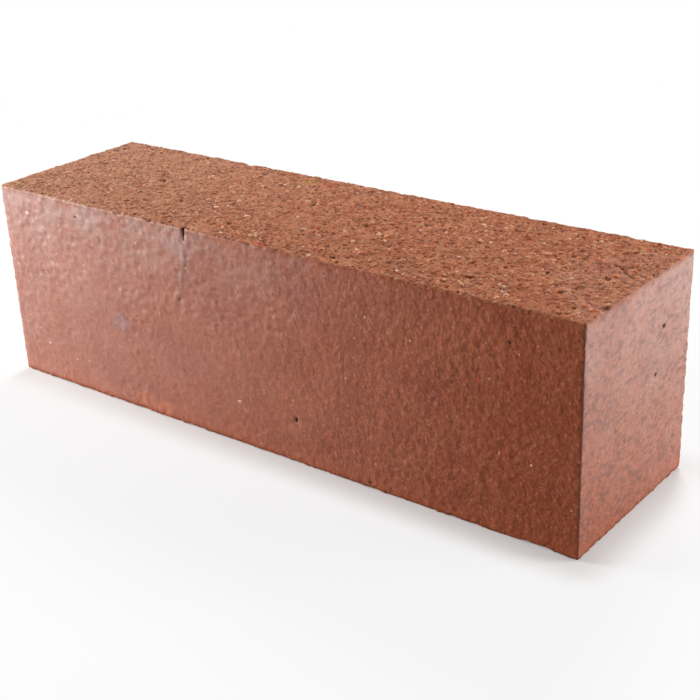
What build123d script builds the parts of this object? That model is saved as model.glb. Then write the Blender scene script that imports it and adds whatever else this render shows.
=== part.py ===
from build123d import *
from dataclasses import dataclass
from math import hypot
import os

# Magnesia-chrome refractory brick, pressed and fired in one piece.
# Millimetres. The origin is the centre of the lower bed face. +X runs along the length to
# the near header face, +Y goes back to the rear stretcher face and +Z is up.

# Fired size, a straight brick of the 230 mm series
brick_length = 230.0
brick_width = 64.0
brick_height = 71.0

# The mould's liners round the four upright arrises, and the punches leave the arrises of
# the two bed faces tighter
upright_arris_radius = 0.7
bed_arris_radius = 0.5

# Drying crack that opens at the upper front arris and runs down the stretcher face
crack_from_header = 141.3
crack_mouth = 1.3
crack_root = 0.5
crack_drop = 3.6
crack_depth = 1.6
crack_taper = 14.0


# A spall is a shell-shaped flake lost from an arris: the place of its middle along the
# arris, its run along it, and how far it bites down the wall and across the bed face
@dataclass
class Spall:
    place: float
    run: float
    wall_bite: float
    bed_bite: float


# A pore is a burst gas bubble in a pressed wall: its place across and up the wall, the
# diameters of its mouth and of its root, and its depth
@dataclass
class Pore:
    across: float
    up: float
    mouth: float
    root: float
    depth: float


# Places along the two front arrises and the rear one are measured from the near header
# face, and places along the near header's arris from the front stretcher face
lower_front_spalls = [
    Spall(place=14.5, run=17.0, wall_bite=0.7, bed_bite=1.6),
    Spall(place=10.6, run=7.0, wall_bite=1.0, bed_bite=1.4),
    Spall(place=71.0, run=4.5, wall_bite=0.5, bed_bite=0.8),
]
upper_front_spalls = [
    Spall(place=18.0, run=11.0, wall_bite=0.8, bed_bite=0.9),
    Spall(place=37.5, run=9.0, wall_bite=0.7, bed_bite=1.2),
    Spall(place=70.0, run=6.0, wall_bite=0.7, bed_bite=1.6),
    Spall(place=113.5, run=5.0, wall_bite=1.2, bed_bite=1.0),
    Spall(place=156.0, run=5.5, wall_bite=1.0, bed_bite=1.3),
    Spall(place=170.5, run=6.5, wall_bite=1.2, bed_bite=1.0),
]
upper_rear_spalls = [
    Spall(place=169.0, run=4.5, wall_bite=1.0, bed_bite=1.3),
    Spall(place=52.0, run=6.0, wall_bite=0.7, bed_bite=1.0),
]
upper_header_spalls = [
    Spall(place=11.8, run=3.4, wall_bite=1.1, bed_bite=0.9),
    Spall(place=40.0, run=3.8, wall_bite=1.3, bed_bite=1.1),
]

# Places across the stretcher wall are measured from the near header face, and across the
# header wall from the front stretcher face
stretcher_pores = [
    Pore(across=22.6, up=60.1, mouth=1.3, root=0.6, depth=0.8),
    Pore(across=99.1, up=15.6, mouth=1.6, root=0.7, depth=0.9),
    Pore(across=194.3, up=56.5, mouth=2.6, root=1.2, depth=0.3),
]
header_pores = [
    Pore(across=46.4, up=53.0, mouth=1.4, root=0.8, depth=1.0),
    Pore(across=42.8, up=39.4, mouth=1.3, root=0.7, depth=0.9),
]

header_face = brick_length / 2
front_face = -brick_width / 2
rear_face = brick_width / 2

up = (0, 0, 1)
down = (0, 0, -1)
front = (0, -1, 0)
back = (0, 1, 0)
near = (1, 0, 0)
far = (-1, 0, 0)


def pressed_body():
    body = Box(brick_length, brick_width, brick_height, align=(Align.CENTER, Align.CENTER, Align.MIN))
    body = fillet(body.edges().filter_by(Axis.Z), upright_arris_radius)
    bed_edges = body.edges().group_by(Axis.Z)[0] + body.edges().group_by(Axis.Z)[-1]
    return fillet(bed_edges, bed_arris_radius)


# The flake's bed is part of a sphere that meets the arris at both ends of the run and each
# face at its bite halfway along, which settles how far its centre stands off both faces
def spall_cutter(spall, arris, wall_normal, bed_normal):
    half_run = spall.run / 2
    off_wall = (half_run**2 - spall.bed_bite**2) / (2 * spall.bed_bite)
    off_bed = (half_run**2 - spall.wall_bite**2) / (2 * spall.wall_bite)
    centre = arris + Vector(*wall_normal) * off_wall + Vector(*bed_normal) * off_bed
    return Pos(centre) * Sphere(hypot(off_wall, off_bed, half_run))


def pore_cutter(pore, mouth_centre, inward):
    cone = Cone(pore.mouth / 2, pore.root / 2, pore.depth, align=(Align.CENTER, Align.CENTER, Align.MIN))
    return Plane(origin=mouth_centre, z_dir=inward) * cone


def crack_cutter():
    wall = Plane(
        origin=(header_face - crack_from_header, front_face, brick_height),
        x_dir=(1, 0, 0),
        z_dir=(0, 1, 0),
    )
    outline = Polygon(
        (-crack_mouth / 2, 0),
        (crack_mouth / 2, 0),
        (crack_root / 2, crack_drop),
        (-crack_root / 2, crack_drop),
        align=None,
    )
    return extrude(wall * outline, amount=crack_depth, taper=crack_taper)


def damage_cutters():
    cutters = [crack_cutter()]
    long_arrises = [
        (lower_front_spalls, front_face, 0, front, down),
        (upper_front_spalls, front_face, brick_height, front, up),
        (upper_rear_spalls, rear_face, brick_height, back, up),
    ]
    for spalls, y, z, wall_normal, bed_normal in long_arrises:
        for spall in spalls:
            arris = Vector(header_face - spall.place, y, z)
            cutters.append(spall_cutter(spall, arris, wall_normal, bed_normal))
    for spall in upper_header_spalls:
        arris = Vector(header_face, front_face + spall.place, brick_height)
        cutters.append(spall_cutter(spall, arris, near, up))
    for pore in stretcher_pores:
        mouth_centre = Vector(header_face - pore.across, front_face, pore.up)
        cutters.append(pore_cutter(pore, mouth_centre, back))
    for pore in header_pores:
        mouth_centre = Vector(header_face, front_face + pore.across, pore.up)
        cutters.append(pore_cutter(pore, mouth_centre, far))
    return cutters


def build_brick():
    brick = pressed_body() - damage_cutters()
    return brick.solid()


os.makedirs("parts", exist_ok=True)
export_step(build_brick(), "parts/brick.step")
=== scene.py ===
import math

import bmesh
import bpy
from mathutils import Matrix, Vector


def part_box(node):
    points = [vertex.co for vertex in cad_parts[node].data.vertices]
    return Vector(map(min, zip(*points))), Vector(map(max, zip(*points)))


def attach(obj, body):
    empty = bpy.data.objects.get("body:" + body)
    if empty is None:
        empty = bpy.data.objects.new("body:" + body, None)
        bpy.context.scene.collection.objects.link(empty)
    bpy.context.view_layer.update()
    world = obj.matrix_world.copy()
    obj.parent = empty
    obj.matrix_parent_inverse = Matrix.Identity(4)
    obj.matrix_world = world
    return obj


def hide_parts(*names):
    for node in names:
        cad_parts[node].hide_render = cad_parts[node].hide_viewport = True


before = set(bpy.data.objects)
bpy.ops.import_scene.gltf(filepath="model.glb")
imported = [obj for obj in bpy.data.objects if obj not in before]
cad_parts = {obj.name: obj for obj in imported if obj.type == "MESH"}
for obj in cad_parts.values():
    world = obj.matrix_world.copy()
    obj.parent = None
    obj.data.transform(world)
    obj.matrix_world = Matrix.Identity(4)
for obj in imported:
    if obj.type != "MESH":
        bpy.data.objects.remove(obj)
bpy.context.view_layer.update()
brickLow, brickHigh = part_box("brick")
mm = 0.001

print("frame loaded")


# Small helpers for building node trees

def addNode(tree, kind, label=None, **settings):
    node = tree.nodes.new(kind)
    if label:
        node.label = label
    for name, value in settings.items():
        setattr(node, name, value)
    return node


def feed(tree, socket, value):
    # a socket is linked, anything else is set as the input's own value
    if isinstance(value, bpy.types.NodeSocket):
        tree.links.new(value, socket)
    elif value is not None:
        socket.default_value = value


def wired(tree, kind, values, out=0, **settings):
    # a new node with its inputs fed; gives one of its outputs
    node = addNode(tree, kind, **settings)
    for name, value in values.items():
        feed(tree, node.inputs[name], value)
    return node.outputs[out]


def calc(tree, operation, a, b=None, c=None, clamp=False):
    node = addNode(tree, "ShaderNodeMath", operation=operation, use_clamp=clamp)
    for socket, value in zip(node.inputs, (a, b, c)):
        feed(tree, socket, value)
    return node.outputs[0]


def times(tree, a, b, clamp=False):
    return calc(tree, "MULTIPLY", a, b, clamp=clamp)


def plus(tree, a, b):
    return calc(tree, "ADD", a, b)


def minus(tree, a, b):
    return calc(tree, "SUBTRACT", a, b)


def most(tree, *values):
    # the largest of two or more values
    result = values[-1]
    for value in reversed(values[:-1]):
        result = calc(tree, "MAXIMUM", value, result)
    return result


def gained(tree, value, name):
    return calc(tree, "MULTIPLY_ADD", value, *gains[name])


def vectorCalc(tree, operation, a, b=None, scale=None, out="Vector"):
    node = addNode(tree, "ShaderNodeVectorMath", operation=operation)
    feed(tree, node.inputs[0], a)
    feed(tree, node.inputs[1], b)
    if scale is not None:
        feed(tree, node.inputs["Scale"], scale)
    return node.outputs[out]


def ramp(tree, value, fromLow, fromHigh, toLow=0.0, toHigh=1.0, smooth=True):
    node = addNode(tree, "ShaderNodeMapRange", clamp=True)
    node.interpolation_type = "SMOOTHSTEP" if smooth else "LINEAR"
    for name, given in zip(
        ("Value", "From Min", "From Max", "To Min", "To Max"),
        (value, fromLow, fromHigh, toLow, toHigh),
    ):
        feed(tree, node.inputs[name], given)
    return node.outputs["Result"]


def noise(tree, position, size, detail=2.0, roughness=0.5, seed=0.0, out=0):
    # size is the width of one lump in metres, and the seed shifts the fourth dimension
    linked = isinstance(size, bpy.types.NodeSocket)
    return wired(tree, "ShaderNodeTexNoise", {
        "Vector": position,
        "Scale": calc(tree, "DIVIDE", 1.0, size) if linked else 1.0 / size,
        "W": seed,
        "Detail": detail,
        "Roughness": roughness,
    }, out, noise_dimensions="4D")


def faded(tree, value, span, smooth=True):
    # a ramp over a span: from and to in mm, and the strengths there if not 0 and 1
    low, high, *levels = span
    return ramp(tree, value, low * mm, high * mm, *levels, smooth=smooth)


def apart(tree, vector):
    # the three numbers of a vector
    node = addNode(tree, "ShaderNodeSeparateXYZ")
    feed(tree, node.inputs[0], vector)
    return node.outputs


def cells(tree, vector):
    # a random cell pattern: the distance to the cell's point, and three random numbers
    node = addNode(tree, "ShaderNodeTexVoronoi", voronoi_dimensions="3D", feature="F1")
    feed(tree, node.inputs["Vector"], vector)
    node.inputs["Scale"].default_value = 1.0
    return node.outputs["Distance"], apart(tree, node.outputs["Color"])


def newGroup(name, kind, inputs, outputs):
    # an input is given by its type, or as a number by its own value
    tree = bpy.data.node_groups.new(name, kind)
    for label, given in inputs.items():
        sort = given if isinstance(given, str) else "Float"
        socket = tree.interface.new_socket(
            name=label, in_out="INPUT", socket_type="NodeSocket" + sort
        )
        if sort == "Float":
            socket.default_value = given
    sort = "Geometry" if kind == "GeometryNodeTree" else "Float"
    for label in outputs:
        tree.interface.new_socket(name=label, in_out="OUTPUT", socket_type="NodeSocket" + sort)
    return tree, addNode(tree, "NodeGroupInput").outputs, addNode(tree, "NodeGroupOutput").inputs


def setModifierInputs(modifier, values):
    # a modifier's inputs are keyed by the socket's identifier
    for item in modifier.node_group.interface.items_tree:
        if item.item_type == "SOCKET" and item.in_out == "INPUT" and item.name in values:
            modifier[item.identifier] = values[item.name]


def applied(obj, name):
    # the evaluated object as a plain mesh in a new object
    graph = bpy.context.evaluated_depsgraph_get()
    mesh = bpy.data.meshes.new_from_object(
        obj.evaluated_get(graph), preserve_all_data_layers=True, depsgraph=graph
    )
    mesh.name = name
    plain = bpy.data.objects.new(name, mesh)
    bpy.context.scene.collection.objects.link(plain)
    return plain


# Camera

camera = {
    "place": (0.26125, -0.30901, 0.20503),
    "right": (0.78999, 0.61180, -0.04024),
    "down": (0.22271, -0.34748, -0.91085),
    "forward": (-0.57125, 0.71060, -0.41076),
    "lens": 68.845,
    "sensor": 36.0,
}


def placeCamera(look):
    data = bpy.data.cameras.new("camera")
    data.lens = look["lens"]
    data.sensor_width = look["sensor"]
    data.clip_start = 0.01
    data.clip_end = 30.0
    obj = bpy.data.objects.new("camera", data)
    bpy.context.scene.collection.objects.link(obj)
    columns = Matrix((look["right"], [-c for c in look["down"]], [-c for c in look["forward"]]))
    obj.matrix_world = Matrix.Translation(look["place"]) @ columns.transposed().to_4x4()
    bpy.context.scene.camera = obj


placeCamera(camera)
print("camera placed")


# Shared effects for the materials

def makeSpeckle():
    # grains cut flush with the surface: a cell is picked by its random number, and its
    # outline is broken by a finer noise
    tree, given, result = newGroup("grainSpeckle", "ShaderNodeTree", {
        "Position": "Vector",
        "Cell Size": 1.8 * mm,
        "Share": 0.05,
        "Seed": 0.0,
    }, ("Mask", "Tone"))
    size = given["Cell Size"]
    wobble = noise(tree, given["Position"], 0.7 * mm, 1.0, 0.5, given["Seed"], "Color")
    centred = vectorCalc(tree, "SUBTRACT", wobble, (0.5, 0.5, 0.5))
    shift = vectorCalc(tree, "SCALE", centred, scale=times(tree, size, 0.35))
    moved = vectorCalc(tree, "ADD", given["Position"], shift)
    scaled = vectorCalc(tree, "SCALE", moved, scale=calc(tree, "DIVIDE", 1.0, size))
    seeded = vectorCalc(tree, "SCALE", (17.3, -9.1, 5.7), scale=given["Seed"])
    distance, draws = cells(tree, vectorCalc(tree, "ADD", scaled, seeded))
    picked = calc(tree, "LESS_THAN", draws[0], given["Share"])
    reach = calc(tree, "MULTIPLY_ADD", draws[1], 0.22, 0.24)
    inside = ramp(tree, distance, reach, plus(tree, reach, 0.1), 1.0, 0.0)
    feed(tree, result["Mask"], times(tree, picked, inside))
    feed(tree, result["Tone"], draws[2])
    return tree


def makeMottle():
    tree, given, result = newGroup("kilnMottle", "ShaderNodeTree", {
        "Position": "Vector",
        "Size": 14 * mm,
        "Low": 0.35,
        "High": 0.65,
        "Seed": 0.0,
        "Detail": 3.0,
    }, ("Mask",))
    value = noise(tree, given["Position"], given["Size"], given["Detail"], 0.55, given["Seed"])
    feed(tree, result["Mask"], ramp(tree, value, given["Low"], given["High"]))
    return tree


def makeStain():
    # a soft-edged patch round a place on the surface, wider or narrower by axis
    tree, given, result = newGroup("firingStain", "ShaderNodeTree", {
        "Position": "Vector",
        "Place": "Vector",
        "Reach": "Vector",
        "Core": 0.35,
        "Ragged": 0.5,
        "Seed": 0.0,
    }, ("Mask",))
    position = given["Position"]
    away = vectorCalc(tree, "SUBTRACT", position, given["Place"])
    away = vectorCalc(tree, "DIVIDE", away, given["Reach"])
    far = vectorCalc(tree, "LENGTH", away, out="Value")
    broken = minus(tree, noise(tree, position, 2.6 * mm, 3.0, 0.6, given["Seed"]), 0.5)
    far = plus(tree, far, times(tree, broken, given["Ragged"]))
    feed(tree, result["Mask"], ramp(tree, far, given["Core"], 1.0, 1.0, 0.0))
    return tree


def makeFineRelief():
    # the relief that is too fine for the mesh, as a height in metres for a Bump node
    tree, given, result = newGroup("fineRelief", "ShaderNodeTree", {
        "Position": "Vector",
        "Size": 0.6 * mm,
        "Depth": 0.03 * mm,
        "Detail": 3.0,
        "Seed": 0.0,
    }, ("Height", "Hollow"))
    broad = noise(tree, given["Position"], given["Size"], given["Detail"], 0.62, given["Seed"])
    centred = minus(tree, broad, 0.5)
    swing = times(tree, given["Depth"], 2.0)
    feed(tree, result["Height"], times(tree, centred, swing))
    # the low places of the relief, for painted shade
    feed(tree, result["Hollow"], ramp(tree, broad, 0.36, 0.5, 1.0, 0.0))
    return tree


speckleGroup = makeSpeckle()
mottleGroup = makeMottle()
stainGroup = makeStain()
reliefGroup = makeFineRelief()


def useGroup(tree, group, values):
    node = addNode(tree, "ShaderNodeGroup", label=group.name)
    node.node_tree = group
    for name, value in values.items():
        feed(tree, node.inputs[name], value)
    return node.outputs


def blendColour(tree, factor, a, b):
    node = addNode(tree, "ShaderNodeMix", data_type="RGBA")
    feed(tree, node.inputs[0], factor)
    for socket, value in ((node.inputs[6], a), (node.inputs[7], b)):
        feed(tree, socket, value if isinstance(value, bpy.types.NodeSocket) else (*value, 1.0))
    return node.outputs[2]


def blendValue(tree, factor, a, b):
    node = addNode(tree, "ShaderNodeMix", data_type="FLOAT")
    feed(tree, node.inputs[0], factor)
    feed(tree, node.inputs[2], a)
    feed(tree, node.inputs[3], b)
    return node.outputs[0]


def readAttribute(tree, name):
    node = addNode(tree, "ShaderNodeAttribute", label=name, attribute_name=name)
    node.attribute_type = "GEOMETRY"
    return node.outputs["Fac"]


def bumped(tree, height):
    # the height is in metres, so the node's distance is one metre
    return wired(tree, "ShaderNodeBump", {"Distance": 1.0, "Height": height}, "Normal")


def newMaterial(name):
    material = bpy.data.materials.new(name)
    material.use_nodes = True
    tree = material.node_tree
    shader = tree.nodes["Principled BSDF"]
    return material, tree, shader


# The fired body: smooth wax-like skin on the four pressed walls, open sandy texture on
# the two beds

skinLook = {
    "wallRed": (0.282, 0.058, 0.018),
    "wallPale": (0.338, 0.084, 0.030),
    "wallMote": (0.460, 0.150, 0.075),
    # painted highlight along the far upper arris
    "arrisHighlight": (0.56, 0.34, 0.25),
    "flame": (0.40, 0.100, 0.036),
    "bedRed": (0.372, 0.106, 0.042),
    "bedPale": (0.550, 0.205, 0.096),
    "bedFarEnd": (0.54, 0.33, 0.22),
    "sandDark": (0.262, 0.072, 0.037),
    "sandPale": (0.50, 0.195, 0.112),
    # dark flecks, and painted shade in hollows, grooves, along the foot and towards the near arris
    "hollow": (0.105, 0.020, 0.008),
    # painted shade inside the pores
    "pore": (0.040, 0.009, 0.005),
    "paleGrain": (0.56, 0.33, 0.21),
    "oliveGrain": (0.44, 0.38, 0.23),
    "darkGrain": (0.050, 0.020, 0.014),
    "redGrain": (0.42, 0.060, 0.028),
    # grey bloom, and painted sheen on the upper front
    "bloomAndSheen": (0.36, 0.31, 0.295),
    # the colour of the painted sheen on the near header
    "dust": (0.385, 0.290, 0.252),
    "headerFleck": (0.19, 0.058, 0.034),
    "wallRoughness": 0.62,
    "polishSpread": 0.08,
    "bedRoughness": 0.85,
    "coatRoughness": 0.55,
    "coatIor": 1.85,
    "specular": 0.20,
    "wallRelief": 0.18 * mm,
    "bedRelief": 0.46 * mm,
}

# how much of each effect shows where it is strongest
shares = {
    "headerFleck": 0.80,
    "creaseGrooveShade": 0.45,
    "creaseRidgeHighlight": 0.28,
    "nearEndShade": 0.16,
    "flame": 0.28,
    "footShade": 0.7,
    "sand": 0.55,
    "pore": 0.95,
    "fineHollowShade": 0.8,
    "hollow": 0.95,
    "worn": 0.35,
    "bareBed": 0.92,
    "bareArris": 0.88,
}

# where an effect fades in or out, in mm along the brick, across it or up it, and its
# strength at both ends
spans = {
    "bareness": (-40, 60),
    "coarseness": (-40, 60, 1.05, 1.8),
    "bloomAndSheenUp": (46, 71),
    "bloomAndSheenAlong": (-20, 50, 0.36, 0.0),
    "headerSheenUp": (0, 71, 0.04, 0.24),
    "headerSheenAcross": (-32, 32, 0.0, 0.12),
    "arrisHighlightUp": (69.2, 70.3),
    "arrisHighlightAlong": (-30, 10, 0.5, 0.0),
    "nearEndShade": (30, 110),
    "flame": (1, 9, 1.0, 0.0),
    "footShade": (0.4, 1.5, 1.0, 0.0),
    "bedFarEnd": (-115, 40, 0.37, 0.0),
    "frontGlaze": (-115, 96, 0.95, 0.0),
    "headerGlaze": (0, 75, 0.33, 0.80),
    "glazeAcross": (-32, 32, 0.0, 0.10),
}

# values on the two long walls and on the headers, or on the headers alone
wallPairs = {
    "upright": (0.85, 1.35),
    "across": (1.0, 0.75),
    "fleckSize": (1.5 * mm, 1.9 * mm),
    "fleckLow": (0.3, 0.46),
    "fleckHigh": (0.7, 0.66),
    "bareness": 1.4,
    "coarseness": 2.9,
}

# what a mask is multiplied by, and what is added to it
gains = {
    "fleck": (0.12, 0.28),
    "mote": (0.36, 0.36),
    # the painted sheen on the near header
    "dust": (0.5, 0.75),
    "flushGrain": (0.5, 0.4),
    "glaze": (0.3, 0.85),
}

# soft patches of tone: size in mm, the two noise levels between which a patch fades in,
# and the seed
mottles = {
    "clouds": (17, 0.3, 0.7, 1.0),
    "motes": (0.9, 0.50, 0.72, 16.0),
    "bloomAndSheen": (7, 0.36, 0.70, 4.0),
    "bed": (5.5, 0.3, 0.7, 5.0),
    "polish": (9, 0.3, 0.7, 9.0),
    "glaze": (11, 0.25, 0.75, 15.0),
    "crystalTone": (3, 0.35, 0.65, 12.0),
    "crystalDust": (0.7, 0.42, 0.62, 13.0),
}

# grains cut flush with the surface: colour, size, share of the bed, share of a wall, seed
flushGrains = [
    ("redGrain", 2.4 * mm, 0.030, 0.002, 2.0),
    ("darkGrain", 1.1 * mm, 0.060, 0.0, 3.0),
    ("oliveGrain", 2.0 * mm, 0.008, 0.0, 4.0),
    ("paleGrain", 1.8 * mm, 0.050, 0.0, 5.0),
    ("paleGrain", 1.0 * mm, 0.050, 0.002, 6.0),
]

# patches of colour: place and half sizes in mm, colour, its strength, and
# how ragged the edge is; most are another firing colour
stains = [
    ((-60.5, -32, 31), (5.5, 4, 4.2), (0.27, 0.22, 0.26), 0.26, 1.1),
    # painted shade in the crater
    ((-79.5, -32, 58), (1.5, 2, 0.6), (0.17, 0.045, 0.026), 0.5, 0.4),
    # darker over the dent
    ((-30.6, -32, 45.6), (0.9, 2, 1.7), (0.20, 0.030, 0.012), 0.55, 0.5),
    ((-52, -32, 4), (7, 3, 4), (0.46, 0.12, 0.040), 0.55, 0.8),
    ((-43, -32, 3.4), (5, 3, 3.4), (0.46, 0.12, 0.040), 0.5, 0.8),
    ((-13.6, 27.1, 71), (4.5, 2.6, 3), (0.47, 0.10, 0.050), 0.75, 0.6),
    ((-22.5, 25.8, 71), (6, 3.4, 3), (0.50, 0.24, 0.060), 0.6, 0.8),
    ((3.2, -30, 71), (3.6, 1.6, 2), (0.52, 0.055, 0.040), 0.8, 0.5),
    ((52.6, -22, 71), (15, 6, 3), (0.37, 0.13, 0.055), 0.45, 1.0),
    ((97, -24, 71), (14, 7, 3), (0.42, 0.12, 0.060), 0.4, 1.0),
]

# painted shade inside the openings in the walls: place and half sizes in mm
poreShades = [
    ((115, 14.4, 53), (2, 1.15, 1.0)),
    ((115, 10.9, 39.4), (2, 1.0, 1.0)),
    ((15.9, -32, 15.4), (0.65, 2, 1.15)),
    ((92.4, -32, 60.1), (0.6, 2, 0.65)),
    ((44, -32, 2.2), (0.7, 2, 0.6)),
    ((-26.3, -32, 70.2), (0.9, 2.4, 1.7)),
    ((-26.4, -32, 68.2), (0.45, 2, 2.4)),
]


def mottled(tree, position, name):
    size, low, high, seed = mottles[name]
    values = {"Position": position, "Size": size * mm, "Low": low, "High": high, "Seed": seed}
    return useGroup(tree, mottleGroup, values)["Mask"]


def patchMask(tree, position, place, reach, ragged, seed, core=None):
    values = {
        "Position": position,
        "Place": [c * mm for c in place],
        "Reach": [c * mm for c in reach],
        "Core": core,
        "Ragged": ragged,
        "Seed": seed,
    }
    return useGroup(tree, stainGroup, values)["Mask"]


def stained(tree, position, colour):
    for count, (place, reach, tint, strength, ragged) in enumerate(stains):
        mask = patchMask(tree, position, place, reach, ragged, float(count))
        colour = blendColour(tree, times(tree, mask, strength), colour, tint)
    return colour


def tonedAlong(tree, x, colour):
    # the beds are paler towards the far end
    farEnd = faded(tree, x, spans["bedFarEnd"])
    return blendColour(tree, farEnd, colour, skinLook["bedFarEnd"])


def makeSkin(look):
    material, tree, shader = newMaterial("firedSkin")
    position = addNode(tree, "ShaderNodeTexCoord").outputs["Object"]
    x, y, height = apart(tree, position)
    onHeader = readAttribute(tree, "header")
    hollow = readAttribute(tree, "hollow")

    # the bed's open texture ends in a broken line just past the arris
    broken = minus(tree, noise(tree, position, 0.9 * mm, 2.0, 0.5, 3.1), 0.5)
    edge = calc(tree, "MULTIPLY_ADD", broken, 0.6, readAttribute(tree, "bedness"))
    bed = ramp(tree, edge, 0.35, 0.65)

    # lumps of the walls' texture lie a little flat on the headers
    flatten = addNode(tree, "ShaderNodeCombineXYZ")
    upright = blendValue(tree, onHeader, *wallPairs["upright"])
    across = blendValue(tree, onHeader, *wallPairs["across"])
    for socket, value in zip(flatten.inputs, (1.0, across, upright)):
        feed(tree, socket, value)
    flattened = vectorCalc(tree, "MULTIPLY", position, flatten.outputs[0])

    # walls: clouds of two reds, dark flecks and pale motes, more where the skin is bare
    wall = blendColour(tree, mottled(tree, position, "clouds"), look["wallRed"], look["wallPale"])
    flecks = useGroup(tree, mottleGroup, {
        "Position": flattened,
        "Size": blendValue(tree, onHeader, *wallPairs["fleckSize"]),
        "Low": blendValue(tree, onHeader, *wallPairs["fleckLow"]),
        "High": blendValue(tree, onHeader, *wallPairs["fleckHigh"]),
        "Seed": 2.0,
    })["Mask"]
    bareness = blendValue(tree, onHeader, faded(tree, x, spans["bareness"]), wallPairs["bareness"])
    flecked = times(tree, flecks, gained(tree, bareness, "fleck"))
    moted = times(tree, mottled(tree, flattened, "motes"), gained(tree, bareness, "mote"))

    # a grey bloom and a painted sheen lie along the upper arris, away from the near header
    bloomAndSheenPatch = mottled(tree, position, "bloomAndSheen")
    rise = faded(tree, height, spans["bloomAndSheenUp"])
    rise = times(tree, rise, faded(tree, x, spans["bloomAndSheenAlong"]))
    rise = times(tree, rise, minus(tree, 1.0, onHeader))
    bloomAndSheenMask = times(tree, bloomAndSheenPatch, rise)

    # painted sheen on the near header, stronger towards its top and its rear arris, with dark red
    # flecks
    dusting = faded(tree, height, spans["headerSheenUp"])
    dusting = plus(tree, dusting, faded(tree, y, spans["headerSheenAcross"]))
    dusting = times(tree, dusting, gained(tree, bloomAndSheenPatch, "dust"))
    dusting = times(tree, onHeader, dusting)
    headerFleckMask = times(tree, times(tree, onHeader, flecks), shares["headerFleck"])

    # a painted highlight along the far upper arris
    arrisHighlightMask = times(tree, faded(tree, height, spans["arrisHighlightUp"]), faded(tree, x, spans["arrisHighlightAlong"]))
    # along the crease, painted shade in its groove and a painted highlight on its ridge
    crease = readAttribute(tree, "crease")
    groove = times(tree, crease, shares["creaseGrooveShade"], clamp=True)
    ridge = times(tree, crease, -shares["creaseRidgeHighlight"], clamp=True)

    # painted shade: the front is a little darker towards its near arris
    offHeader = minus(tree, shares["nearEndShade"], times(tree, onHeader, shares["nearEndShade"]))
    nearEndShade = times(tree, faded(tree, x, spans["nearEndShade"]), offHeader)

    # the lowest few millimetres took more flame and came out more orange
    foot = times(tree, faded(tree, height, spans["flame"]), shares["flame"])
    # painted shade along the lowest millimetre and a half, where the brick meets the floor
    footShade = times(tree, faded(tree, height, spans["footShade"]), shares["footShade"])

    # laid over one another in this order
    for mask, label in (
        (flecked, "hollow"),
        (moted, "wallMote"),
        (bloomAndSheenMask, "bloomAndSheen"),
        (dusting, "dust"),
        (headerFleckMask, "headerFleck"),
        (arrisHighlightMask, "arrisHighlight"),
        (groove, "hollow"),
        (ridge, "bloomAndSheen"),
        (nearEndShade, "hollow"),
        (foot, "flame"),
        (footShade, "hollow"),
    ):
        wall = blendColour(tree, mask, wall, look[label])

    # beds
    bedColour = blendColour(tree, mottled(tree, position, "bed"), look["bedRed"], look["bedPale"])
    sandValues = {"Position": position, "Cell Size": 1.5 * mm, "Share": 0.5, "Seed": 1.0}
    sand = useGroup(tree, speckleGroup, sandValues)
    sandTone = blendColour(tree, sand["Tone"], look["sandDark"], look["sandPale"])
    bedColour = blendColour(tree, times(tree, sand["Mask"], shares["sand"]), bedColour, sandTone)
    bedColour = tonedAlong(tree, x, bedColour)

    # grains of several minerals, close together on the beds and rare on the walls
    colour = blendColour(tree, bed, wall, bedColour)
    for label, size, bedShare, wallShare, seed in flushGrains:
        grain = useGroup(tree, speckleGroup, {
            "Position": position,
            "Cell Size": size,
            "Share": blendValue(tree, bed, wallShare, bedShare),
            "Seed": seed,
        })
        strength = gained(tree, grain["Tone"], "flushGrain")
        strength = times(tree, grain["Mask"], strength)
        colour = blendColour(tree, strength, colour, look[label])
    colour = stained(tree, position, colour)

    # painted shade inside the pores and the slit
    inPore = 0.0
    for count, (place, reach) in enumerate(poreShades):
        mask = patchMask(tree, position, place, reach, 0.35, 20.0 + count, core=0.6)
        inPore = most(tree, inPore, mask)
    colour = blendColour(tree, times(tree, inPore, shares["pore"]), colour, look["pore"])

    # fine relief under the mesh's own, and painted shade in the hollows
    wallFine = useGroup(tree, reliefGroup, {
        "Position": flattened,
        "Size": 2.1 * mm,
        "Depth": look["wallRelief"],
        "Detail": 2.0,
        "Seed": 7.0,
    })
    bedFine = useGroup(tree, reliefGroup, {
        "Position": position,
        "Size": 1.3 * mm,
        "Depth": look["bedRelief"],
        "Seed": 8.0,
    })
    coarseness = faded(tree, x, spans["coarseness"])
    coarseness = blendValue(tree, onHeader, coarseness, wallPairs["coarseness"])
    grit = blendValue(tree, bed, times(tree, wallFine["Height"], coarseness), bedFine["Height"])
    fineHollowShade = times(tree, times(tree, bedFine["Hollow"], bed), shares["fineHollowShade"])
    colour = blendColour(tree, fineHollowShade, colour, look["hollow"])
    # painted shade in the pits, pinholes, deep marks and cracks
    colour = blendColour(tree, times(tree, hollow, shares["hollow"]), colour, look["hollow"])
    worn = times(tree, readAttribute(tree, "worn"), shares["worn"])
    colour = blendColour(tree, worn, colour, look["bedPale"])
    feed(tree, shader.inputs["Base Color"], colour)

    polish = mottled(tree, position, "polish")
    wallRough = calc(tree, "MULTIPLY_ADD", polish, look["polishSpread"], look["wallRoughness"])
    rough = blendValue(tree, bed, wallRough, look["bedRoughness"])
    feed(tree, shader.inputs["Roughness"], rough)
    feed(tree, shader.inputs["Normal"], bumped(tree, grit))
    shader.inputs["Specular IOR Level"].default_value = look["specular"]

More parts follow.
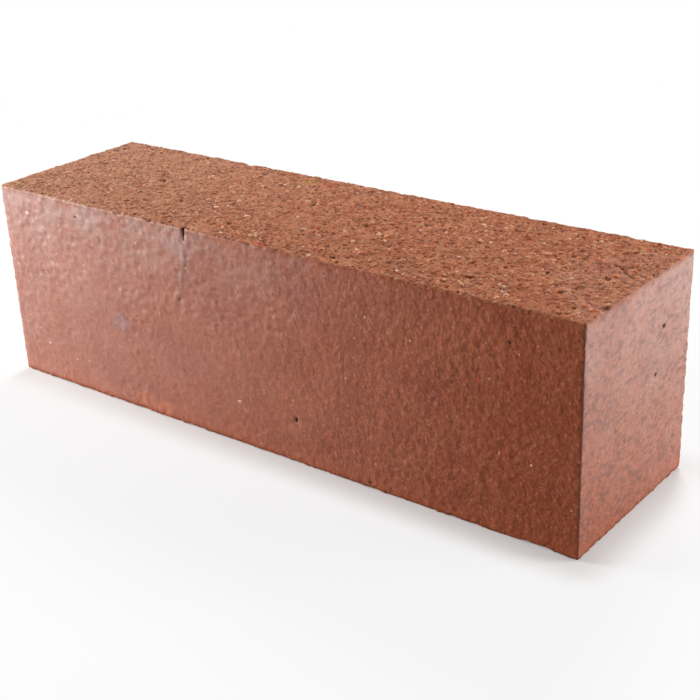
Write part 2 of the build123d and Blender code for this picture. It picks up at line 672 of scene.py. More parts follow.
    # the fire skin is a thin glaze, thick at the far end, gone by the near front arris, and
    # thick again on the near header, more so towards its top
    front = faded(tree, x, spans["frontGlaze"], smooth=False)
    header = faded(tree, height, spans["headerGlaze"])
    header = plus(tree, header, faded(tree, y, spans["glazeAcross"]))
    glaze = blendValue(tree, onHeader, front, header)
    uneven = gained(tree, mottled(tree, position, "glaze"), "glaze")
    glaze = times(tree, glaze, uneven, clamp=True)
    rubbed = times(tree, readAttribute(tree, "arris"), shares["bareArris"])
    bare = most(tree, hollow, rubbed, inPore, times(tree, bed, shares["bareBed"]))
    coat = times(tree, glaze, minus(tree, 1.0, bare), clamp=True)
    feed(tree, shader.inputs["Coat Weight"], coat)
    shader.inputs["Coat Roughness"].default_value = look["coatRoughness"]
    shader.inputs["Coat IOR"].default_value = look["coatIor"]
    return material


skinMaterial = makeSkin(skinLook)
print("skin material made")


# Relief of the brick. Everything is pressed inwards from the CAD faces, so the size stays.

relief = {
    "voxel": 0.45 * mm,
    "triangles": 192000,
    "dimpleSpacing": 7 * mm,
    "dimpleDepth": 0.12 * mm,
    "wallMean": 0.40,
    "bedMean": 0.45,
    "creaseReach": 1.1 * mm,
    "creaseWander": 3.0 * mm,
    "grooveShift": (-1.3 * mm, 0, 0),
    "crackReach": 0.70 * mm,
    "crackWander": 1.2 * mm,
    "Least Inset": 0.02 * mm,
    "Bed Wrap": 0.45 * mm,
    "Wrap Wander": 0.6 * mm,
    "Swell Depth": 0.16 * mm,
    "Swell Size": 28 * mm,
    "Peel Depth": 0.45 * mm,
    "Peel Size": 2.3 * mm,
    "Coarse Depth": 0.14 * mm,
    "Coarse Size": 7 * mm,
    "Sand Depth": 0.92 * mm,
    "Sand Size": 2.5 * mm,
    "Grain Depth": 0.52 * mm,
    "Grain Size": 2.6 * mm,
    "Pit Depth": 1.20 * mm,
    "Pit Spacing": 4.2 * mm,
    "Pinhole Depth": 0.70 * mm,
    "Pinhole Spacing": 2.6 * mm,
    "Crumble Depth": 0.45 * mm,
    "Arris Wear": 0.22 * mm,
    "Crease Depth": 0.16 * mm,
    "Crack Depth": 0.55 * mm,
}

# where an effect of the relief fades in or out in mm, and its strength at both ends
reliefSpans = {
    "bedEdge": (-0.25, 0.35),
    "nearBed": (0.2, 2.4, 1.0, 0.0),
    "nearUpright": (0.2, 2.2, 1.0, 0.0),
    "crumbleAlong": (-30, 60, 0.45, 1.0),
    "calm": (0.4, 2.0, 0.6, 1.0),
    "deepMark": (0.5, 0.8),
    "creaseUp": (30, 52),
    "arris": (0.7, 2.6, 1.0, 0.0),
    "header": (-0.3, 0.3),
}

# noise that says where an effect comes and goes: size in mm, detail, roughness, the two
# levels between which it sets in, and its least strength
reliefPatches = {
    "peel": (26, 1.0, 0.5, 0.38, 0.62, 0.35),
    "crumble": (3.4, 2.5, 0.6, 0.50, 0.74, 0.0),
    "rubbed": (2.6, 2.0, 0.6, 0.5, 0.75, 0.0),
    "crease": (5, 1.0, 0.5, 0.36, 0.6, 0.3),
}

# holes by cell: share of the cells, smallest and largest reach as a share of the spacing,
# and the seed
holes = {
    "pit": (0.38, 0.14, 0.25, 1.0),
    "pinhole": (0.45, 0.17, 0.30, 2.0),
    "dimple": (0.05, 0.07, 0.13, 5.0),
}

# single marks that stand out: place, radius and depth in mm, a raised one has a negative depth
marks = [
    (-60.5, -32, 31, 2.4, 0.10), (15.9, -32, 15.4, 0.6, 0.35),
    (92.4, -32, 60.1, 0.5, 0.35), (44, -32, 2.2, 0.6, 0.30), (-30.6, -32, 45.6, 0.7, 0.24),
    (60.2, -32, 53, 0.9, -0.12), (89.5, -32, 26.2, 0.8, -0.12), (95.5, -32, 57.4, 0.7, -0.10),
    (99.7, -32, 25.3, 0.7, -0.10), (-18, -32, 33, 1.0, 0.14), (-71, -32, 20, 1.2, 0.12),
    (115, 14.4, 53, 0.9, 0.45), (115, 10.9, 39.4, 0.85, 0.45), (115, -8, 48, 0.9, 0.19),
    (115, -13.5, 44, 0.8, 0.19), (115, -10, 27, 1.3, -0.20), (115, 20, 30, 0.9, 0.12),
    (-58.6, 19.7, 71, 1.3, 0.8), (-41.9, 25.3, 71, 1.2, 0.8), (37.9, 10.1, 71, 1.2, 0.8),
    (107.1, 11.6, 71, 0.8, 0.6), (107.1, -24.4, 71, 0.8, 0.7), (84.3, -22.3, 71, 1.2, 0.8),
    (71.7, -20.3, 71, 1.4, 0.9), (102.5, 26.5, 71, 0.7, 0.6), (94, 27.5, 71, 0.8, 0.6),
    (113.8, 8, 70.6, 1.1, 0.7), (113.8, -20, 70.6, 1.0, 0.7), (30, -27.5, 71, 1.3, 0.8),
    (12.5, -27, 71, 1.2, 0.7), (5.2, -29.5, 71, 1.1, 0.6), (-6, 8, 71, 1.4, 0.8),
]

# the wavy crease where the wall's skin slid under the punch, and small curls at the arris
creases = [
    [(-26.6, -32, 67), (-27.4, -32, 60), (-29.3, -32, 54), (-30, -32, 50), (-32.5, -32, 46)],
    [(-32.5, -32, 46), (-34.2, -32, 42), (-33.6, -32, 36), (-35, -32, 31)],
    [(-57.8, -32, 69.6), (-56, -32, 68.4), (-54.2, -32, 69.4)],
    [(-43.2, -32, 70), (-41.4, -32, 69.1), (-39.6, -32, 70.1)],
    [(2.6, -32, 70.4), (5.2, -32, 69.6), (9.8, -32, 69.9), (14.5, -32, 70.2)],
]
cracks = [
    [(102, 9.1, 71), (105.5, 6.9, 71), (107.6, 4.6, 71), (110.3, 2.9, 71)],
    [(86.2, -3.5, 71), (87.9, -3.2, 71), (89.6, -3.6, 71)],
    [(69.6, -21.3, 71), (72.4, -19.4, 71), (74.5, -18.9, 71)],
    [(-26.3, -31.6, 71), (-26.3, -31.6, 68.4)],
]


def pointHelper(name, rows):
    mesh = bpy.data.meshes.new(name)
    mesh.from_pydata([[c * mm for c in row[:3]] for row in rows], [], [])
    for label, column in (("radius", 3), ("depth", 4)):
        layer = mesh.attributes.new(label, "FLOAT", "POINT")
        layer.data.foreach_set("value", [row[column] * mm for row in rows])
    return linkMesh(name, mesh)


def lineHelper(name, lines):
    vertices, edges = [], []
    for line in lines:
        start = len(vertices)
        vertices += [[c * mm for c in point] for point in line]
        edges += [(start + i, start + i + 1) for i in range(len(line) - 1)]
    mesh = bpy.data.meshes.new(name)
    mesh.from_pydata(vertices, edges, [])
    return linkMesh(name, mesh)


def linkMesh(name, mesh):
    obj = bpy.data.objects.new(name, mesh)
    bpy.context.scene.collection.objects.link(obj)
    return obj


def helperGeometry(tree, helper):
    values = {"Object": helper}
    return wired(tree, "GeometryNodeObjectInfo", values, "Geometry", transform_space="ORIGINAL")


def saved(tree, geometry, label, value):
    # a number kept on every point of the geometry
    return wired(tree, "GeometryNodeStoreNamedAttribute", {
        "Geometry": geometry,
        "Name": label,
        "Value": value,
    }, "Geometry", data_type="FLOAT", domain="POINT")


def savedValue(tree, label):
    kind = "GeometryNodeInputNamedAttribute"
    return wired(tree, kind, {"Name": label}, "Attribute", data_type="FLOAT")


def wobbled(tree, value, position, size, amount, seed):
    # adds a noise of plus or minus the amount
    return plus(tree, value, signedNoise(tree, position, size, amount, 2.0, 0.55, seed))


def signedNoise(tree, position, size, amount, detail, roughness, seed):
    centred = minus(tree, noise(tree, position, size, detail, roughness, seed), 0.5)
    return times(tree, centred, times(tree, amount, 2.0))


def patchy(tree, position, name, seed):
    size, detail, roughness, low, high, least = reliefPatches[name]
    return ramp(tree, noise(tree, position, size * mm, detail, roughness, seed), low, high, least)


def hollows(tree, position, spacing, name):
    # round-bottomed holes in some of the cells; gives 0 to 1, deepest in the middle
    share, low, high, seed = holes[name]
    scaled = vectorCalc(tree, "SCALE", position, scale=calc(tree, "DIVIDE", 1.0, spacing))
    seeded = (11.1 * seed, 4.7 * seed, -7.3 * seed)
    distance, draws = cells(tree, vectorCalc(tree, "ADD", scaled, seeded))
    picked = calc(tree, "LESS_THAN", draws[0], share)
    reach = calc(tree, "MULTIPLY_ADD", draws[1], high - low, low)
    far = wobbled(tree, distance, position, times(tree, spacing, 0.22), 0.10, seed)
    shape = ramp(tree, far, times(tree, reach, 0.35), reach, 1.0, 0.0)
    depth = calc(tree, "MULTIPLY_ADD", draws[2], 0.6, 0.4)
    return times(tree, times(tree, shape, picked), depth)


def makeRelief():
    lengths = {name: value for name, value in relief.items() if name[0].isupper()}
    tree, given, result = newGroup("firedRelief", "GeometryNodeTree", {
        "Geometry": "Geometry",
        "Length": 0.23,
        "Width": 0.064,
        "Height": 0.071,
        "Marks": "Object",
        "Creases": "Object",
        "Cracks": "Object",
        "Skin": "Material",
        "Seed": 0.0,
        **lengths,
    }, ("Geometry",))
    position = addNode(tree, "GeometryNodeInputPosition").outputs[0]
    x, y, z = apart(tree, position)
    seed = given["Seed"]

    def deepened(inset, share, depth):
        return plus(tree, inset, times(tree, share, given[depth]))

    # how deep a point lies behind each pair of faces
    halfLength = times(tree, given["Length"], 0.5)
    halfWidth = times(tree, given["Width"], 0.5)
    behindHeaders = minus(tree, halfLength, calc(tree, "ABSOLUTE", x))
    behindStretchers = minus(tree, halfWidth, calc(tree, "ABSOLUTE", y))
    behindWalls = calc(tree, "MINIMUM", behindHeaders, behindStretchers)
    behindBeds = calc(tree, "MINIMUM", z, minus(tree, given["Height"], z))
    fromUpright = most(tree, behindHeaders, behindStretchers)
    fromBedArris = most(tree, behindWalls, behindBeds)

    # the bed's rough texture wraps a little way over the arris, in a wavy line
    edge = plus(tree, minus(tree, behindWalls, behindBeds), given["Bed Wrap"])
    edge = wobbled(tree, edge, position, 9 * mm, given["Wrap Wander"], seed)
    edge = wobbled(tree, edge, position, 2.2 * mm, times(tree, given["Wrap Wander"], 0.55), seed)
    bed = faded(tree, edge, reliefSpans["bedEdge"])

    # walls: a slow swell, orange peel that comes and goes, and a few shallow dimples
    swell = signedNoise(tree, position, given["Swell Size"], given["Swell Depth"], 1.0, 0.5, seed)
    squat = vectorCalc(tree, "MULTIPLY", position, (1.0, 1.0, 1.25))
    peel = signedNoise(tree, squat, given["Peel Size"], given["Peel Depth"], 1.5, 0.5, seed)
    peel = times(tree, peel, patchy(tree, position, "peel", seed))
    fine = signedNoise(
        tree, squat, times(tree, given["Peel Size"], 0.42), times(tree, given["Peel Depth"], 0.40), 1.0,
        0.5, seed,
    )
    dimple = hollows(tree, position, relief["dimpleSpacing"], "dimple")
    dimple = times(tree, dimple, relief["dimpleDepth"])
    wallHeight = plus(tree, plus(tree, swell, peel), fine)
    wallSwing = plus(tree, given["Swell Depth"], given["Peel Depth"])
    wallInset = minus(tree, times(tree, wallSwing, relief["wallMean"]), wallHeight)
    wallInset = plus(tree, wallInset, dimple)

    # beds: sand and coarse grains standing between torn-out pits
    coarse = signedNoise(tree, position, given["Coarse Size"], given["Coarse Depth"], 2.0, 0.5, seed)
    sand = signedNoise(tree, position, given["Sand Size"], given["Sand Depth"], 2.5, 0.62, seed)
    scaled = vectorCalc(tree, "SCALE", position, scale=calc(tree, "DIVIDE", 1.0, given["Grain Size"]))
    distance, draws = cells(tree, scaled)
    dome = ramp(tree, distance, 0.12, 0.62, 1.0, 0.0)
    grains = times(tree, dome, calc(tree, "POWER", draws[0], 1.6))
    grains = times(tree, grains, given["Grain Depth"])
    pits = hollows(tree, position, given["Pit Spacing"], "pit")
    pinholes = hollows(tree, position, given["Pinhole Spacing"], "pinhole")
    bedHeight = plus(tree, plus(tree, coarse, sand), grains)
    bedSwing = plus(tree, given["Coarse Depth"], given["Sand Depth"])
    bedInset = minus(tree, times(tree, bedSwing, relief["bedMean"]), bedHeight)
    bedInset = deepened(bedInset, pits, "Pit Depth")
    bedInset = deepened(bedInset, pinholes, "Pinhole Depth")

    # arrises: the bed ones crumble in places, the upright ones are rubbed
    nearBed = faded(tree, fromBedArris, reliefSpans["nearBed"])
    crumble = times(tree, patchy(tree, position, "crumble", seed), nearBed)
    crumble = times(tree, crumble, ramp(tree, z, 0.0, given["Height"], 0.2, 1.0))
    crumble = times(tree, crumble, faded(tree, x, reliefSpans["crumbleAlong"]))
    nearUpright = faded(tree, fromUpright, reliefSpans["nearUpright"])
    rubbed = times(tree, patchy(tree, position, "rubbed", seed), nearUpright)

    calm = faded(tree, fromBedArris, reliefSpans["calm"])
    inset = blendField(tree, bed, wallInset, times(tree, bedInset, calm))
    inset = deepened(inset, crumble, "Crumble Depth")
    inset = deepened(inset, rubbed, "Arris Wear")

    # single marks, creases and cracks
    points = helperGeometry(tree, given["Marks"])
    nearest = wired(tree, "GeometryNodeSampleNearest", {
        "Geometry": points,
        "Sample Position": position,
    }, "Index", domain="POINT")

    def atMark(dataType, value):
        node = addNode(tree, "GeometryNodeSampleIndex", data_type=dataType, domain="POINT")
        feed(tree, node.inputs["Geometry"], points)
        feed(tree, node.inputs["Value"], value)
        feed(tree, node.inputs["Index"], nearest)
        return node.outputs[0]

    markPlace = atMark("FLOAT_VECTOR", addNode(tree, "GeometryNodeInputPosition").outputs[0])
    markRadius = atMark("FLOAT", savedValue(tree, "radius"))
    markDepth = atMark("FLOAT", savedValue(tree, "depth"))
    fromMark = vectorCalc(tree, "DISTANCE", position, markPlace, out="Value")
    fromMark = wobbled(tree, fromMark, position, 1.4 * mm, times(tree, markRadius, 0.45), seed)
    markShape = ramp(tree, fromMark, times(tree, markRadius, 0.35), markRadius, 1.0, 0.0)
    inset = plus(tree, inset, times(tree, markShape, markDepth))

    def alongLines(helper, reach, wander, shift=(0, 0, 0)):
        node = addNode(tree, "GeometryNodeProximity", target_element="EDGES")
        feed(tree, node.inputs[0], helperGeometry(tree, helper))
        swirl = noise(tree, position, 3 * mm, 1.0, 0.5, 2.0, "Color")
        swirl = vectorCalc(tree, "SUBTRACT", swirl, (0.5, 0.5, 0.5))
        moved = vectorCalc(tree, "ADD", vectorCalc(tree, "SCALE", swirl, scale=wander), shift)
        feed(tree, node.inputs["Sample Position"], vectorCalc(tree, "ADD", position, moved))
        return ramp(tree, node.outputs["Distance"], times(tree, reach, 0.2), reach, 1.0, 0.0)

    # a crease is a soft ridge with a groove on its near side, and fades down the wall
    creaseForm = (given["Creases"], relief["creaseReach"], relief["creaseWander"])
    ridge = alongLines(*creaseForm)
    groove = alongLines(*creaseForm, relief["grooveShift"])
    fade = faded(tree, z, reliefSpans["creaseUp"])
    fade = times(tree, fade, patchy(tree, position, "crease", 6.0))
    crease = times(tree, minus(tree, groove, ridge), fade)
    inset = deepened(inset, crease, "Crease Depth")
    crackShape = alongLines(given["Cracks"], relief["crackReach"], relief["crackWander"])
    inset = deepened(inset, crackShape, "Crack Depth")
    inset = most(tree, inset, given["Least Inset"])

    # masks that the material reads
    bedHollow = times(tree, most(tree, pits, pinholes), bed)
    deepMark = times(tree, markShape, faded(tree, markDepth, reliefSpans["deepMark"]))
    hollow = most(tree, bedHollow, deepMark, crackShape)
    worn = most(tree, rubbed, times(tree, crumble, 0.6))
    creased = times(tree, crease, minus(tree, 1.0, bed))
    arris = faded(tree, fromBedArris, reliefSpans["arris"])
    deeper = minus(tree, behindStretchers, behindHeaders)
    header = faded(tree, deeper, reliefSpans["header"])

    geometry = given["Geometry"]
    masks = {
        "bedness": bed,
        "hollow": hollow,
        "worn": worn,
        "arris": arris,
        "header": header,
        "crease": creased,
    }
    for label, value in masks.items():
        geometry = saved(tree, geometry, label, value)
    normal = addNode(tree, "GeometryNodeInputNormal").outputs[0]
    inwards = vectorCalc(tree, "SCALE", normal, scale=times(tree, inset, -1.0))
    moved = wired(tree, "GeometryNodeSetPosition", {"Geometry": geometry, "Offset": inwards})
    smooth = wired(tree, "GeometryNodeSetShadeSmooth", {"Geometry": moved}, domain="FACE")
    finishTree(tree, smooth, given["Skin"], result["Geometry"])
    return tree


def blendField(tree, factor, a, b):
    return calc(tree, "MULTIPLY_ADD", factor, minus(tree, b, a), a)


def finishTree(tree, geometry, material, result):
    real = wired(tree, "GeometryNodeRealizeInstances", {"Geometry": geometry})
    values = {"Geometry": real, "Material": material}
    feed(tree, result, wired(tree, "GeometryNodeSetMaterial", values))


def dropObject(obj):
    mesh = obj.data
    bpy.data.objects.remove(obj)
    bpy.data.meshes.remove(mesh)


def makeBrick():
    # a closed copy of the CAD node, remeshed finely enough to carry the relief
    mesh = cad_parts["brick"].data.copy()
    mesh.materials.clear()
    work = bmesh.new()
    work.from_mesh(mesh)
    bmesh.ops.remove_doubles(work, verts=work.verts, dist=0.002 * mm)
    bmesh.ops.recalc_face_normals(work, faces=work.faces)
    work.to_mesh(mesh)
    work.free()
    blank = linkMesh("brickBlank", mesh)
    remesh = blank.modifiers.new("remesh", "REMESH")
    remesh.mode = "VOXEL"
    remesh.voxel_size = relief["voxel"]
    dense = applied(blank, "brickDense")
    print("brick remeshed to", len(dense.data.polygons), "faces")

    helpers = {
        "Marks": pointHelper("markPoints", marks),
        "Creases": lineHelper("creaseLines", creases),
        "Cracks": lineHelper("crackLines", cracks),
    }
    modifier = dense.modifiers.new("firedRelief", "NODES")
    modifier.node_group = makeRelief()
    size = brickHigh - brickLow
    setModifierInputs(modifier, {
        "Length": size.x, "Width": size.y, "Height": size.z,
        "Skin": skinMaterial, "Seed": 3.0, **helpers,
    })
    thin = dense.modifiers.new("decimate", "DECIMATE")
    thin.ratio = relief["triangles"] / (2.0 * len(dense.data.polygons))
    brick = applied(dense, "firedBrick")
    # thinning pushes a few points past the pressed faces
    least = relief["Least Inset"]
    for vertex in brick.data.vertices:
        for axis in range(3):
            low, high = brickLow[axis] + least, brickHigh[axis] - least
            vertex.co[axis] = min(max(vertex.co[axis], low), high)
    for obj in (blank, dense, *helpers.values()):
        dropObject(obj)
    return brick


brick = makeBrick()
print("fired brick has", len(brick.data.polygons), "faces and", [a.name for a in brick.data.attributes])
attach(brick, "root")
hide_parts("brick")


# Mineral grains that stand in the surface, as small crystals sunk into the body

grainField = {
    "Sink": 0.40,
    "Smallest Scale": 0.55,
    "largestScale": 1.15,
    "rarity": 2.2,
    "dusting": 0.35,
    "dustRoughness": 0.1,
    "ownTone": 0.75,
}

# counts are per square metre of bed and of wall, and the body's own crumbs are "matrix"
grainKinds = {
    "sandCrumb": {
        "bed": 135000.0, "wall": 0.0, "Small": 0.58 * mm, "Large": 1.30 * mm, "Seed": 24,
        "colour": (0.335, 0.084, 0.033), "second": (0.65, 0.245, 0.120), "roughness": 0.9,
        "matrix": True,
    },
    "paleCrumb": {
        "bed": 105000.0, "wall": 0.0, "Small": 0.56 * mm, "Large": 1.18 * mm, "Seed": 25,
        "colour": (0.57, 0.200, 0.094), "second": (0.86, 0.43, 0.26), "roughness": 0.9,
        "matrix": True,
    },
    "paleSpinel": {
        "bed": 6000.0, "wall": 40.0, "Small": 0.45 * mm, "Large": 1.00 * mm, "Seed": 21,
        "colour": (0.74, 0.40, 0.25), "second": (0.92, 0.62, 0.44), "roughness": 0.62,
    },
    "oliveGrain": {
        "bed": 1800.0, "wall": 0.0, "Small": 0.40 * mm, "Large": 0.80 * mm, "Seed": 22,
        "colour": (0.44, 0.36, 0.21), "second": (0.60, 0.54, 0.38), "roughness": 0.66,
    },
    "chromiteGrain": {
        "bed": 9000.0, "wall": 0.0, "Small": 0.30 * mm, "Large": 0.60 * mm, "Seed": 23,
        "colour": (0.090, 0.034, 0.022), "second": (0.16, 0.052, 0.030), "roughness": 0.65,
    },
}

# no random grain where the surface is hollow or on an arris: the most that either may be
clearOf = {
    "hollow": 0.3,
    "arris": 0.7,
}

# grains that stand out on the upper bed and the front wall: place and radius in mm
knownGrains = {
    "paleSpinel": [
        (-1.9, -24.8, 71, 1.25), (52.6, -26.9, 71, 1.1), (54.9, -27.6, 71, 0.9),
        (72.4, -23.2, 71, 1.2), (73.4, -25.6, 71, 1.0), (85.5, -24.6, 71, 1.1),
        (52.2, 18.7, 71, 0.95), (85.1, 3.3, 71, 0.95), (89.4, 23.5, 71, 0.95),
        (21.5, 3.5, 71, 0.9), (34.5, -8.5, 71, 0.9), (14.5, -14.5, 71, 0.85),
        (40.5, -14.2, 71, 0.9), (-36, 8.5, 71, 0.9), (-28, -7.5, 71, 0.8), (-56, 14.5, 71, 1.1),
        (-29.6, -1.8, 71, 1.2), (-36.8, 3.6, 71, 0.9), (-16.5, -13.1, 71, 1.3),
        (-1.7, -5.1, 71, 1.2), (6.8, -12.2, 71, 1.1), (-27.3, 19, 71, 1.1), (-21.9, 19.9, 71, 1.1),
        (-9.2, 9.4, 71, 1.2), (-5.2, 9.1, 71, 0.9), (-21.5, 0.3, 71, 0.9), (-33.3, -18.1, 71, 1.1),
        (19.4, -7.8, 71, 1.2), (27, -14, 71, 1.1), (32.2, -19, 71, 1.2), (29.4, -4.1, 71, 1.1),
        (22.6, -29.5, 71, 1.1), (17.2, -25.2, 71, 1.0), (12.5, 6.7, 71, 1.0), (23.5, 10, 71, 1.1),
        (5.3, 28.5, 71, 1.0), (-12.7, -28.6, 71, 1.0), (-68.6, 25.3, 71, 1.0),
        (53.3, 17.8, 71, 1.1), (59.7, 19.6, 71, 0.9), (75.5, 14.3, 71, 1.1), (81.6, 7.2, 71, 1.1),
        (86.1, 2.2, 71, 1.1), (60.7, -7.9, 71, 1.0), (83.9, -21.1, 71, 1.0), (48.2, 24.2, 71, 1.0),
        (71.4, 27.7, 71, 1.1), (62.5, 6.4, 71, 0.9), (60.2, -32, 53, 0.55), (89.5, -32, 26.2, 0.6),
        (95.5, -32, 57.4, 0.45), (99.7, -32, 25.3, 0.5),
    ],
    "oliveGrain": [
        (-3.6, -25.9, 71, 0.9), (-0.4, -26.4, 71, 0.8), (50.1, -25.2, 71, 0.9),
        (74.6, -23.6, 71, 1.0), (87.7, 22.4, 71, 1.1), (91.6, 21.6, 71, 0.8),
    ],
}


def makeGrainTree():
    tree, given, result = newGroup("sunkGrains", "GeometryNodeTree", {
        "Geometry": "Geometry",
        "Known": "Object",
        "Bed Density": 10000.0,
        "Wall Density": 300.0,
        "Small": 0.3 * mm,
        "Large": 0.8 * mm,
        "Smallest Scale": 0.6,
        "Sink": 0.5,
        "Seed": "Int",
        "Low Corner": "Vector",
        "High Corner": "Vector",
        "Crystal": "Material",
    }, ("Geometry",))
    body = given["Geometry"]
    bedness = savedValue(tree, "bedness")
    density = blendField(tree, bedness, given["Wall Density"], given["Bed Density"])
    for label, limit in clearOf.items():
        clear = calc(tree, "LESS_THAN", savedValue(tree, label), limit)
        density = times(tree, density, clear)

    scatter = wired(tree, "GeometryNodeDistributePointsOnFaces", {
        "Mesh": body,
        "Density": density,
        "Seed": given["Seed"],
    }, "Points", distribute_method="RANDOM")

    def randomValue(low, high, offset, dataType="FLOAT"):
        node = addNode(tree, "FunctionNodeRandomValue", data_type=dataType)
        sockets = [socket for socket in node.inputs if socket.enabled]
        feed(tree, sockets[0], low)
        feed(tree, sockets[1], high)
        feed(tree, node.inputs["Seed"], plus(tree, given["Seed"], offset))
        return next(socket for socket in node.outputs if socket.enabled)

    # small grains are far commoner than large ones
    spread = calc(tree, "POWER", randomValue(0.0, 1.0, 3.0), grainField["rarity"])
    radius = blendField(tree, spread, given["Small"], given["Large"])
    scattered = saved(tree, scatter, "radius", radius)
    join = addNode(tree, "GeometryNodeJoinGeometry")
    feed(tree, join.inputs[0], helperGeometry(tree, given["Known"]))
    feed(tree, join.inputs[0], scattered)
    toned = saved(tree, join.outputs[0], "tone", randomValue(0.0, 1.0, 4.0))

    # every grain is brought onto the relief and sunk into it
    def fromBody(value):
        node = addNode(tree, "GeometryNodeSampleNearestSurface", data_type="FLOAT_VECTOR")
        feed(tree, node.inputs["Mesh"], body)
        feed(tree, node.inputs["Value"], value)
        return node.outputs["Value"]

    ownRadius = savedValue(tree, "radius")
    surface = fromBody(addNode(tree, "GeometryNodeInputPosition").outputs[0])
    outward = fromBody(addNode(tree, "GeometryNodeInputNormal").outputs[0])
    depth = times(tree, times(tree, ownRadius, given["Sink"]), -1.0)
    sunk = vectorCalc(tree, "ADD", surface, vectorCalc(tree, "SCALE", outward, scale=depth))
    placed = wired(tree, "GeometryNodeSetPosition", {"Geometry": toned, "Position": sunk})

    crystal = wired(tree, "GeometryNodeMeshIcoSphere", {"Radius": 1.0, "Subdivisions": 1})
    shape = addNode(tree, "ShaderNodeCombineXYZ")
    for axis in range(3):
        scale = randomValue(given["Smallest Scale"], grainField["largestScale"], 5.0 + axis)
        feed(tree, shape.inputs[axis], scale)
    crystals = wired(tree, "GeometryNodeInstanceOnPoints", {
        "Points": placed,
        "Instance": crystal,
        "Rotation": randomValue((0, 0, 0), (6.283, 6.283, 6.283), 11.0, "FLOAT_VECTOR"),
        "Scale": vectorCalc(tree, "SCALE", shape.outputs[0], scale=ownRadius),
    })

    # nothing stands past the pressed faces
    real = wired(tree, "GeometryNodeRealizeInstances", {"Geometry": crystals})
    position = addNode(tree, "GeometryNodeInputPosition").outputs[0]
    held = vectorCalc(tree, "MAXIMUM", position, given["Low Corner"])
    held = vectorCalc(tree, "MINIMUM", held, given["High Corner"])
    kept = wired(tree, "GeometryNodeSetPosition", {"Geometry": real, "Position": held})
    finishTree(tree, kept, given["Crystal"], result["Geometry"])
    return tree


def makeCrystalMaterial(name, look):
    material, tree, shader = newMaterial(name)
    position = addNode(tree, "ShaderNodeTexCoord").outputs["Object"]
    tone = mottled(tree, position, "crystalTone")
    dust = mottled(tree, position, "crystalDust")
    fine = useGroup(tree, reliefGroup, {
        "Position": position,
        "Size": 0.4 * mm,
        "Depth": 0.04 * mm,
        "Seed": 14.0,
    })
    lightness = blendValue(tree, grainField["ownTone"], tone, readAttribute(tree, "tone"))
    colour = blendColour(tree, lightness, look["colour"], look["second"])
    dusty = times(tree, dust, grainField["dusting"])
    colour = blendColour(tree, dusty, colour, skinLook["bedRed"])
    if look.get("matrix"):
        # crumbs of the body itself share the bed's patches of colour
        x = apart(tree, position)[0]
        colour = stained(tree, position, tonedAlong(tree, x, colour))
    feed(tree, shader.inputs["Base Color"], colour)
    rough = calc(tree, "MULTIPLY_ADD", dust, grainField["dustRoughness"], look["roughness"])
    feed(tree, shader.inputs["Roughness"], rough)
    shader.inputs["Specular IOR Level"].default_value = skinLook["specular"]
    feed(tree, shader.inputs["Normal"], bumped(tree, fine["Height"]))
    return material


def makeGrains(body):
    grainTree = makeGrainTree()
    inner = Vector((0.01, 0.01, 0.01)) * mm
    for name, look in grainKinds.items():
        known = [(*row, 0.0) for row in knownGrains.get(name, [])]
        helper = pointHelper(name + "Points", known)
        carrier = linkMesh(name + "Carrier", body.data.copy())
        modifier = carrier.modifiers.new("sunkGrains", "NODES")
        modifier.node_group = grainTree
        setModifierInputs(modifier, {
            "Known": helper,
            "Bed Density": look["bed"],
            "Wall Density": look["wall"],
            "Small": look["Small"], "Large": look["Large"], "Seed": look["Seed"],
            "Smallest Scale": grainField["Smallest Scale"], "Sink": grainField["Sink"],
            "Low Corner": brickLow + inner, "High Corner": brickHigh - inner,
            "Crystal": makeCrystalMaterial(name, look),
        })
        grains = applied(carrier, name)
        for obj in (helper, carrier):
            dropObject(obj)
        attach(grains, "root")
        print(name, "has", len(grains.data.polygons), "faces")


makeGrains(brick)


# Floor, lamps and world

studio = {
    "floorColour": (0.80, 0.80, 0.79),
    "floorRoughness": 0.8,
    "floorRadius": 4.0,
    "shadow": (0, 14, 0.25, 0.80),
    "fadeOut": (20, 400),
    "world": 0.15,
}
softboxes = [
    {"name": "leftSoftbox", "place": (-0.496, -0.231, 0.170), "width": 0.24, "level": 25.0},
    {"name": "rightSoftbox", "place": (0.495, 0.231, 0.171), "width": 0.24, "level": 12.8},
    {"name": "backSoftbox", "place": (-0.146, 0.546, 0.601), "width": 0.26, "level": 19.5},
]
lampAim = (0.0, 0.0, 0.035)


def backdropRay(tree):
    # 1 for the rays that should find a plain white background
    path = addNode(tree, "ShaderNodeLightPath")
    rays = [path.outputs[f"Is {kind} Ray"] for kind in ("Camera", "Glossy", "Transmission")]
    return most(tree, *rays)


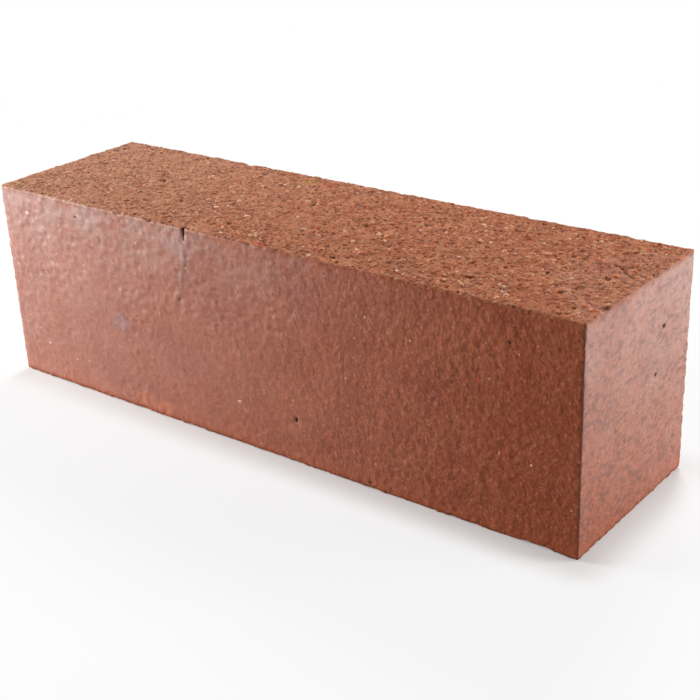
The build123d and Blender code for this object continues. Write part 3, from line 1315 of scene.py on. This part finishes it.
def makeFloor(look):
    material, tree, shader = newMaterial("paleFloor")
    shader.inputs["Base Color"].default_value = (*look["floorColour"], 1.0)
    shader.inputs["Roughness"].default_value = look["floorRoughness"]
    glow = addNode(tree, "ShaderNodeEmission")
    glow.inputs["Color"].default_value = (1, 1, 1, 1)
    glow.inputs["Strength"].default_value = 1.0
    mix = addNode(tree, "ShaderNodeMixShader")
    position = addNode(tree, "ShaderNodeTexCoord").outputs["Object"]
    outside = vectorCalc(tree, "ABSOLUTE", position)
    outside = vectorCalc(tree, "SUBTRACT", outside, (brickHigh.x, brickHigh.y, 0.0))
    away = vectorCalc(tree, "LENGTH", vectorCalc(tree, "MAXIMUM", outside, (0, 0, 0)), out="Value")
    near = faded(tree, away, look["shadow"])
    white = blendValue(tree, faded(tree, away, look["fadeOut"]), near, 1.0)
    feed(tree, mix.inputs[0], times(tree, backdropRay(tree), white))
    feed(tree, mix.inputs[1], shader.outputs[0])
    feed(tree, mix.inputs[2], glow.outputs[0])
    feed(tree, tree.nodes["Material Output"].inputs["Surface"], mix.outputs[0])
    mesh = bpy.data.meshes.new("floor")
    work = bmesh.new()
    bmesh.ops.create_circle(work, cap_ends=True, segments=64, radius=look["floorRadius"])
    work.to_mesh(mesh)
    work.free()
    mesh.materials.append(material)
    floor = linkMesh("floor", mesh)


def makeWorld(look):
    world = bpy.data.worlds.new("studio")
    bpy.context.scene.world = world
    world.use_nodes = True
    tree = world.node_tree
    background = tree.nodes["Background"]
    strength = blendValue(tree, backdropRay(tree), look["world"], 1.0)
    background.inputs["Color"].default_value = (1, 1, 1, 1)
    feed(tree, background.inputs["Strength"], strength)


def makeSoftbox(box):
    data = bpy.data.lights.new(box["name"], "AREA")
    data.shape = "SQUARE"
    data.size = box["width"]
    data.energy = box["level"] * math.pi * box["width"] ** 2
    lamp = bpy.data.objects.new(box["name"], data)
    bpy.context.scene.collection.objects.link(lamp)
    lamp.location = box["place"]
    away = Vector(box["place"]) - Vector(lampAim)
    lamp.rotation_euler = away.to_track_quat("Z", "Y").to_euler()
    lamp.visible_camera = False


makeFloor(studio)
makeWorld(studio)
for box in softboxes:
    makeSoftbox(box)
bpy.context.scene.view_settings.view_transform = "Standard"
print("floor, world and", len(softboxes), "softboxes placed")
